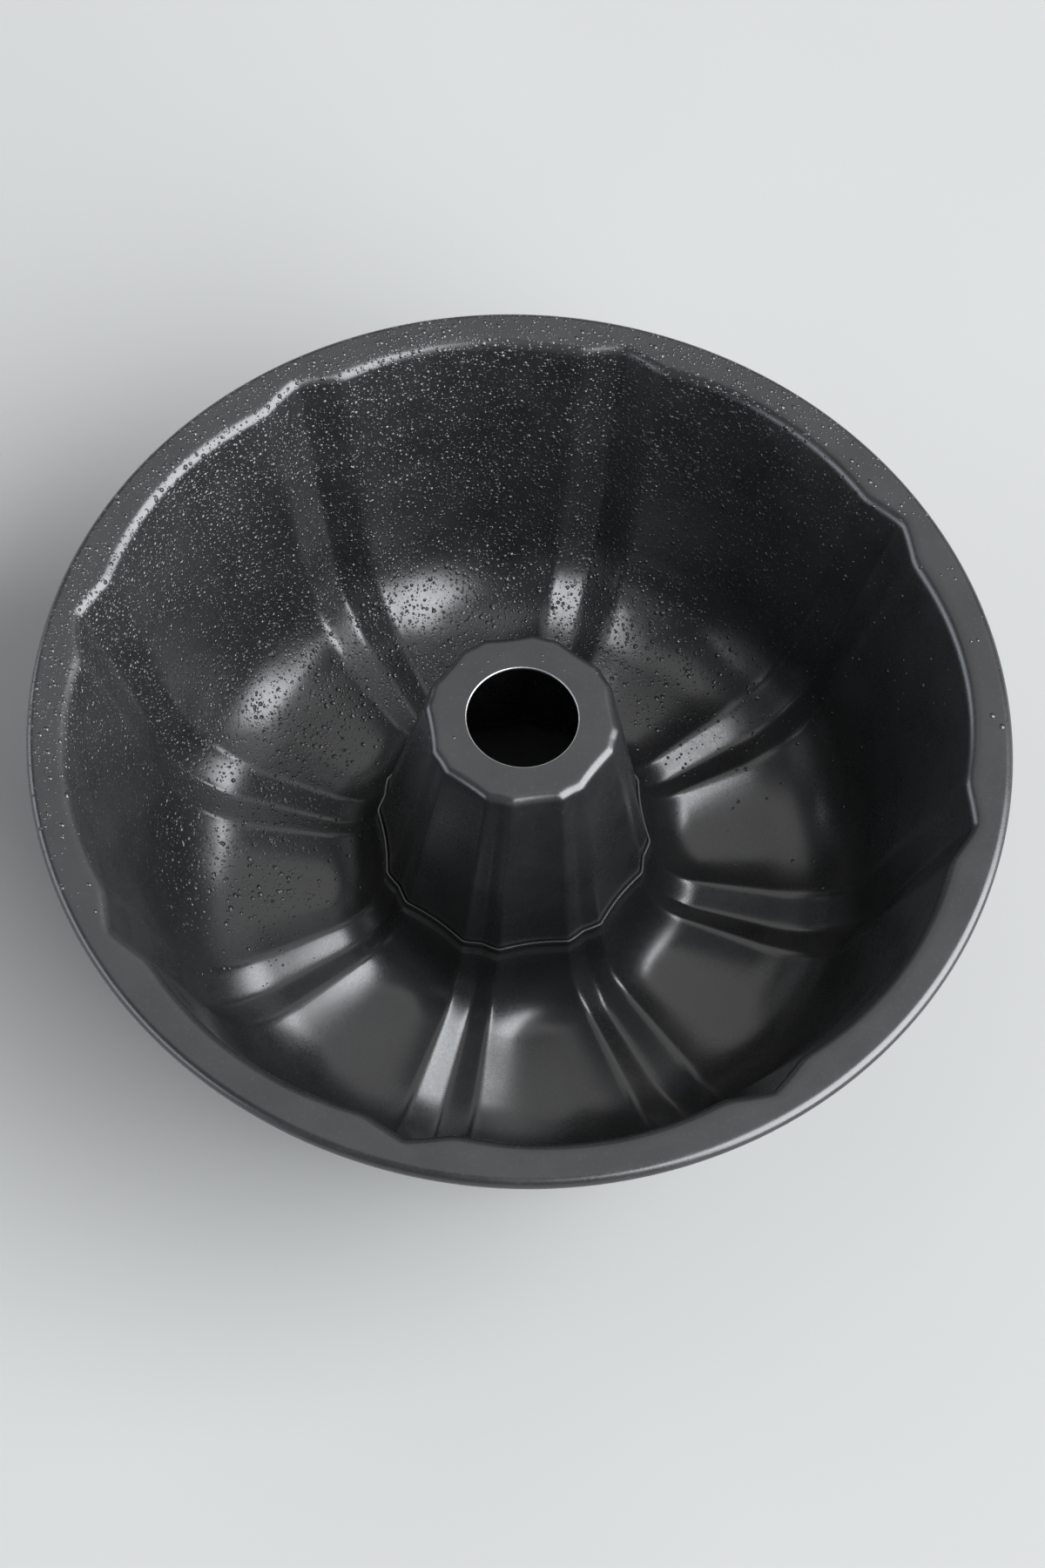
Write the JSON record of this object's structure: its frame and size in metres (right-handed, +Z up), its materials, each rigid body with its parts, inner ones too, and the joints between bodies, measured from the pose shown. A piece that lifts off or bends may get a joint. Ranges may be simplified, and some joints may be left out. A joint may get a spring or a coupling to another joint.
{
  "type": "bundt pan",
  "caption": "Round fluted tube pan for ring cakes: lobed steel trough with flat rolled rim, and a vented conical centre tube.",
  "frame": {"origin": "on the ground under the pan, on the axis of the centre tube", "axes": "+Z up along the tube's axis, out of the open mouth; +X and +Y each run through the middle of a lobe"},
  "size_m": [0.25, 0.25, 0.087],
  "materials": {
    "nonstick_coating": "satin dark grey non-stick coating on sheet steel",
    "rim_wire_steel": "drawn bright steel wire"
  },
  "bodies": {
    "root": {"fluted_shell": "nonstick_coating", "centre_tube": "nonstick_coating", "rim_wire": "rim_wire_steel"}
  },
  "joints": []
}
